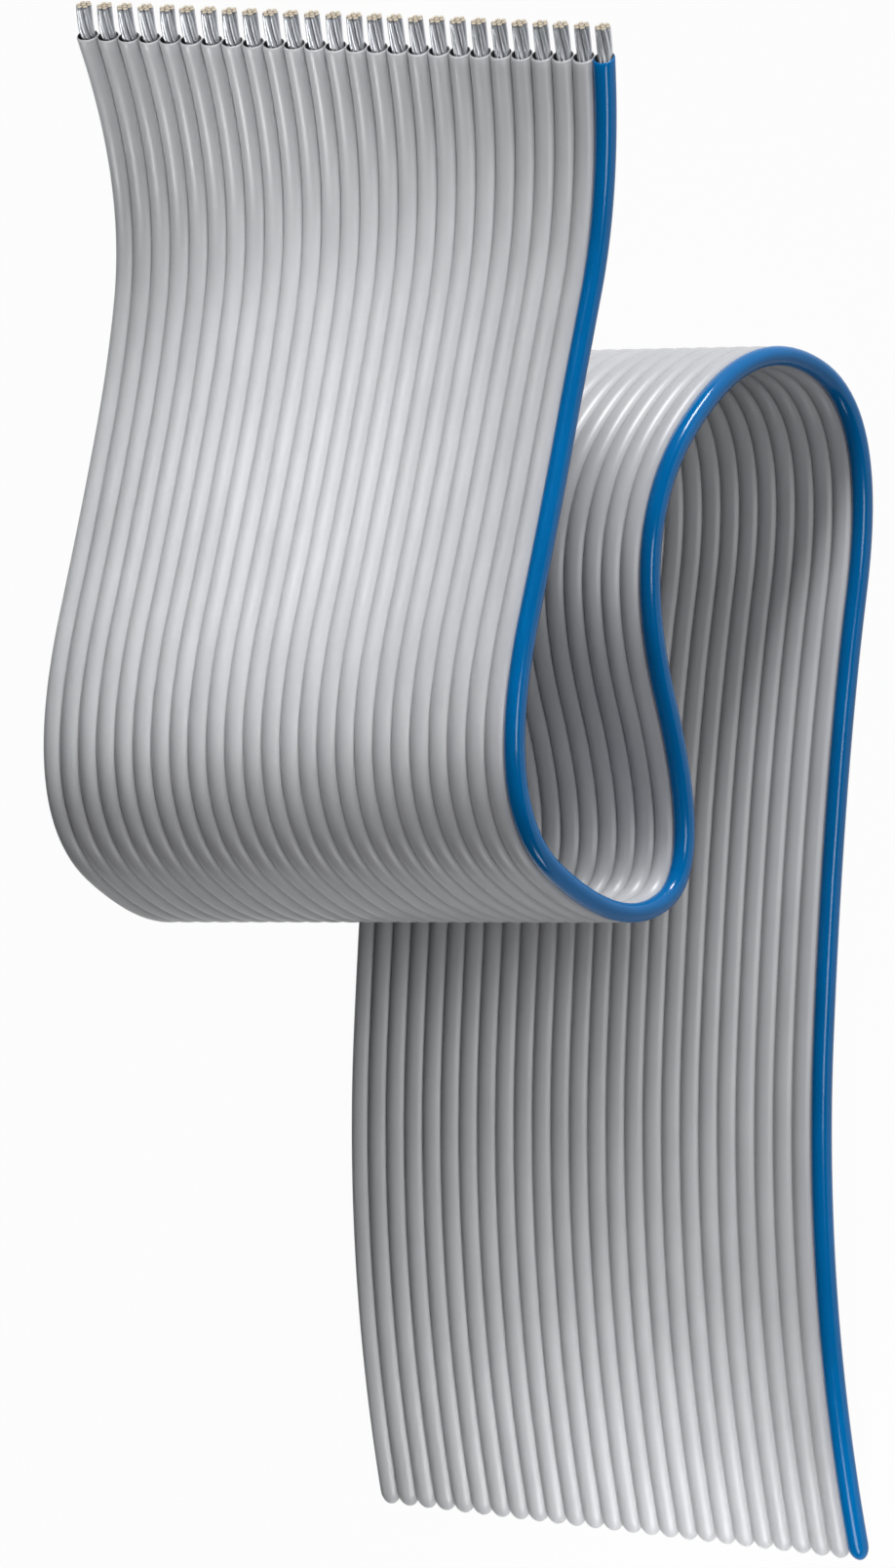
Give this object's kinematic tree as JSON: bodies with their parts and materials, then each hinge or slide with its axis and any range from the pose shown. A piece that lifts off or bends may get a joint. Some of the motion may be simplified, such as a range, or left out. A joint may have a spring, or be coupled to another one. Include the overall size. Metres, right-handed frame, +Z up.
{
  "type": "flat ribbon cable",
  "caption": "Flat ribbon cable, folded into an S, with its stranded conductors stripped bare at one end and a striped edge that marks the first wire.",
  "frame": {"origin": "middle of the box in X and Y, on the surface that the cable lies on", "axes": "+Y along the wires towards the stripped end, +X across the width towards the blue edge, +Z up"},
  "size_m": [0.0328, 0.0794, 0.0279],
  "materials": {
    "gray_pvc": "satin gray extruded PVC",
    "blue_pvc": "glossy blue extruded PVC",
    "tinned_copper": "tinned copper strands, bright"
  },
  "bodies": {
    "root": {"gray_insulation": "gray_pvc", "blue_edge_insulation": "blue_pvc", "conductor_01": "tinned_copper", "conductor_02": "tinned_copper", "conductor_03": "tinned_copper", "conductor_04": "tinned_copper", "conductor_05": "tinned_copper", "conductor_06": "tinned_copper", "conductor_07": "tinned_copper", "conductor_08": "tinned_copper", "conductor_09": "tinned_copper", "conductor_10": "tinned_copper", "conductor_11": "tinned_copper", "conductor_12": "tinned_copper", "conductor_13": "tinned_copper", "conductor_14": "tinned_copper", "conductor_15": "tinned_copper", "conductor_16": "tinned_copper", "conductor_17": "tinned_copper", "conductor_18": "tinned_copper", "conductor_19": "tinned_copper", "conductor_20": "tinned_copper", "conductor_21": "tinned_copper", "conductor_22": "tinned_copper", "conductor_23": "tinned_copper", "conductor_24": "tinned_copper", "conductor_25": "tinned_copper", "conductor_26": "tinned_copper"}
  },
  "joints": []
}
